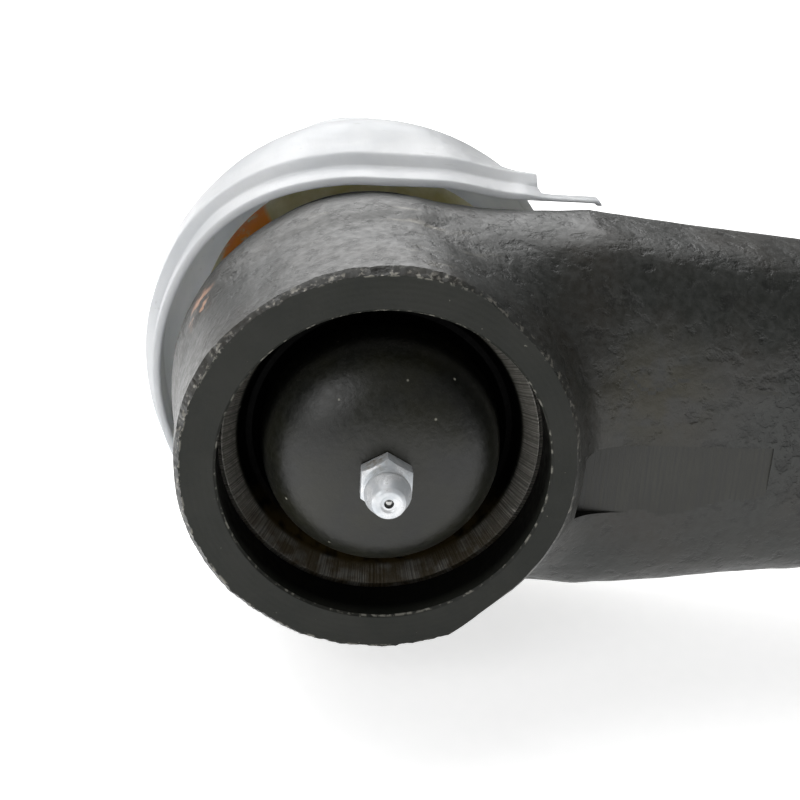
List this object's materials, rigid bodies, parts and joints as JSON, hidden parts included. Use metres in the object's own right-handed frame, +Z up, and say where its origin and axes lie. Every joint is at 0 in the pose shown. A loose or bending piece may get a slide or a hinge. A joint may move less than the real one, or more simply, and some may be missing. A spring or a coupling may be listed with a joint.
{
  "type": "tie rod end",
  "caption": "Forged ball-joint end for a steering tie rod: threaded shank, domed greased closure, tapered swivelling stud with castle nut, dust boot and transit cap.",
  "frame": {"origin": "centre of the ball in the socket", "axes": "+X along the shank from the ball towards its threaded end, +Y along the ball stud away from the closure cover, +Z up with the part lying on its side"},
  "size_m": [0.2215, 0.1395, 0.075],
  "materials": {
    "black_forging": "thin black paint over a scaled steel forging, machined round the closure face",
    "black_cover": "black phosphated stamping, semi-gloss",
    "zinc_plate": "clear zinc plating, bright",
    "hardened_steel": "ground, greased",
    "bare_steel": "turned and ground steel",
    "spring_steel": "oiled spring steel",
    "natural_urethane": "translucent natural polyurethane, satin",
    "milky_polythene": "translucent milky polythene, moulded, waxy"
  },
  "bodies": {
    "socket": {"socket_forging": "black_forging", "closure_cover": "black_cover", "bearing_cover_side": "hardened_steel", "bearing_stud_side": "hardened_steel", "preload_spring": "spring_steel", "fitting_body": "zinc_plate", "fitting_spring": "spring_steel", "boot_base_band": "spring_steel"},
    "seat": {"pressure_seat": "hardened_steel"},
    "check_ball": {"fitting_check_ball": "bare_steel"},
    "boot": {"dust_boot": "natural_urethane"},
    "collar": {"boot_collar_band": "spring_steel"},
    "stud": {"ball_stud": "bare_steel", "castle_nut": "zinc_plate", "cotter_pin": "zinc_plate"},
    "cap": {"transit_cap": "milky_polythene"}
  },
  "joints": [
    {"name": "stud_rock", "type": "hinge", "parent": "socket", "child": "boot", "pos_m": [0, 0, 0], "axis": [1, 0, 0], "range_deg": [-15, 15], "deforming": ["dust_boot"]},
    {"name": "stud_swing", "type": "hinge", "parent": "boot", "child": "collar", "pos_m": [0, 0, 0], "axis": [0, 0, 1], "range_deg": [-15, 15], "deforming": ["dust_boot"]},
    {"name": "stud_turn", "type": "hinge", "parent": "collar", "child": "stud", "pos_m": [0, 0, 0], "axis": [0, 1, 0], "continuous": true},
    {"name": "cap_pull", "type": "slide", "parent": "collar", "child": "cap", "axis": [0, 1, 0], "range_m": [0, 0.085]},
    {"name": "seat_travel", "type": "slide", "parent": "socket", "child": "seat", "axis": [0, -1, 0], "range_m": [0, 0.0008], "stiffness_N_per_m": 60000, "springref_m": -0.002, "deforming": ["preload_spring"]},
    {"name": "check_ball_lift", "type": "slide", "parent": "socket", "child": "check_ball", "axis": [0, 1, 0], "range_m": [0, 0.0008], "stiffness_N_per_m": 400, "springref_m": -0.001, "deforming": ["fitting_spring"]}
  ]
}
